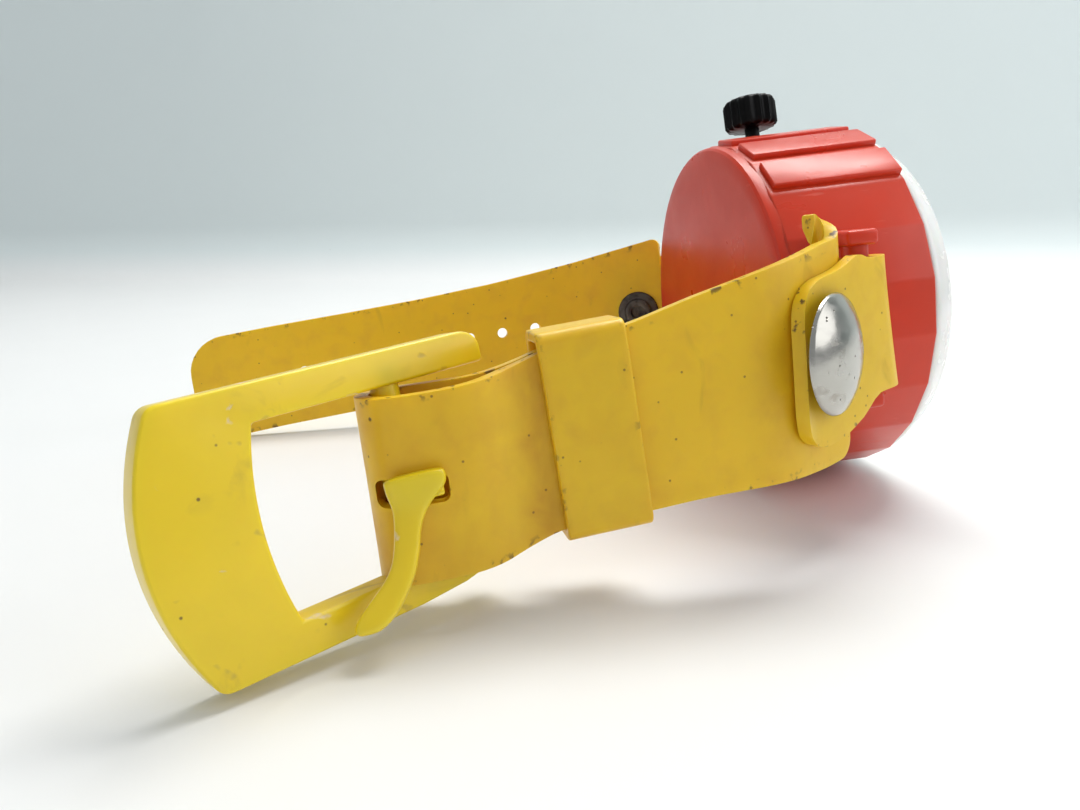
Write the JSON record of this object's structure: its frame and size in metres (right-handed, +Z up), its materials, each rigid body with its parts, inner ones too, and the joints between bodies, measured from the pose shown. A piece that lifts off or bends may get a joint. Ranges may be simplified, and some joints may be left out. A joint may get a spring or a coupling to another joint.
{
  "type": "toy wristwatch",
  "caption": "Oversized toy wristwatch with a faceted case, a knob geared to its hands and a two-piece riveted vinyl strap with keeper and buckle.",
  "frame": {"origin": "middle of the bounding box, on the table that the watch lies on", "axes": "+Z up from the table; +Y from the crystal towards the free ends of the strap; +X from the buckle half of the strap towards the long half. The case axis leans a few degrees, because the case edge, a corner of the buckle and a corner of the strap's tail carry the watch."},
  "size_m": [0.0979, 0.113, 0.0581],
  "materials": {
    "red_plastic": "glossy moulded plastic, slightly see-through at the edges",
    "white_plastic": "glossy moulded plastic",
    "clear_plastic": "clear moulded plastic",
    "dial_card": "printed disc",
    "nylon": "natural nylon",
    "black_plastic": "glossy moulded plastic",
    "hand_black": "black painted sheet",
    "amber_vinyl": "soft vinyl, softly glossy, a little grimy",
    "lemon_plastic": "moulded plastic with scuffs",
    "nickel": "nickel plate, pitted and stained",
    "dark_nickel": "darkened plate",
    "steel": "plain steel"
  },
  "bodies": {
    "case": {"case_cup": "red_plastic", "bezel": "white_plastic", "crystal": "clear_plastic", "dial": "dial_card", "movement_plate": "nylon", "plate_screws": "steel", "stem_bush": "black_plastic"},
    "crown": {"crown_knob": "black_plastic", "crown_stem": "black_plastic", "stem_clip": "steel", "stem_pinion": "nylon"},
    "minute_train": {"centre_arbor": "steel", "contrate_wheel": "nylon", "cannon_pinion": "steel", "minute_hand": "hand_black", "hand_cap": "red_plastic"},
    "reduction": {"reduction_gear": "nylon"},
    "hour_train": {"hour_wheel": "nylon", "hour_hand": "hand_black"},
    "strap_short": {"strap_short": "amber_vinyl", "rivet_cap_short": "nickel", "rivet_socket_short": "dark_nickel"},
    "strap_long": {"strap_long": "amber_vinyl", "rivet_cap_long": "nickel", "rivet_socket_long": "dark_nickel"},
    "keeper": {"keeper": "amber_vinyl"},
    "buckle": {"buckle_frame": "lemon_plastic"},
    "tongue": {"buckle_tongue": "lemon_plastic"}
  },
  "joints": [
    {"name": "crown_turn", "type": "hinge", "parent": "case", "child": "crown", "pos_m": [0.0089, -0.03904, 0.04518], "axis": [0.2203, 0.0674, 0.9731], "continuous": true},
    {"name": "minute_turn", "type": "hinge", "parent": "case", "child": "minute_train", "pos_m": [0.0045, -0.04498, 0.02604], "axis": [0, 0.9976, -0.0691], "continuous": true},
    {"name": "reduction_turn", "type": "hinge", "parent": "case", "child": "reduction", "pos_m": [-0.00514, -0.04716, 0.02352], "axis": [0, 0.9976, -0.0691], "continuous": true},
    {"name": "hour_turn", "type": "hinge", "parent": "case", "child": "hour_train", "pos_m": [0.0045, -0.04797, 0.02624], "axis": [0, 0.9976, -0.0691], "continuous": true},
    {"name": "short_swing", "type": "hinge", "parent": "case", "child": "strap_short", "pos_m": [-0.02441, -0.03734, 0.02781], "axis": [0.0793, 0.0689, 0.9945], "range_deg": [-8, 20]},
    {"name": "long_swing", "type": "hinge", "parent": "case", "child": "strap_long", "pos_m": [0.03341, -0.03766, 0.02322], "axis": [-0.0793, -0.0689, -0.9945], "range_deg": [-8, 20]},
    {"name": "buckle_swing", "type": "hinge", "parent": "strap_short", "child": "buckle", "pos_m": [-0.0338, 0.01947, 0.01507], "axis": [0.1294, 0.1561, 0.9792], "range_deg": [-12, 12]},
    {"name": "tongue_swing", "type": "hinge", "parent": "strap_short", "child": "tongue", "pos_m": [-0.0338, 0.01947, 0.01507], "axis": [0.1294, 0.1561, 0.9792], "range_deg": [-3, 3]},
    {"name": "keeper_slide", "type": "slide", "parent": "strap_short", "child": "keeper", "axis": [-0.0102, 0.9804, -0.1968], "range_m": [-0.0005, 0.0004]}
  ],
  "couplings": [
    {"joint": "minute_turn", "follows": "crown_turn", "ratio": 0.33333},
    {"joint": "reduction_turn", "follows": "crown_turn", "ratio": -0.11111},
    {"joint": "hour_turn", "follows": "crown_turn", "ratio": 0.027778}
  ]
}
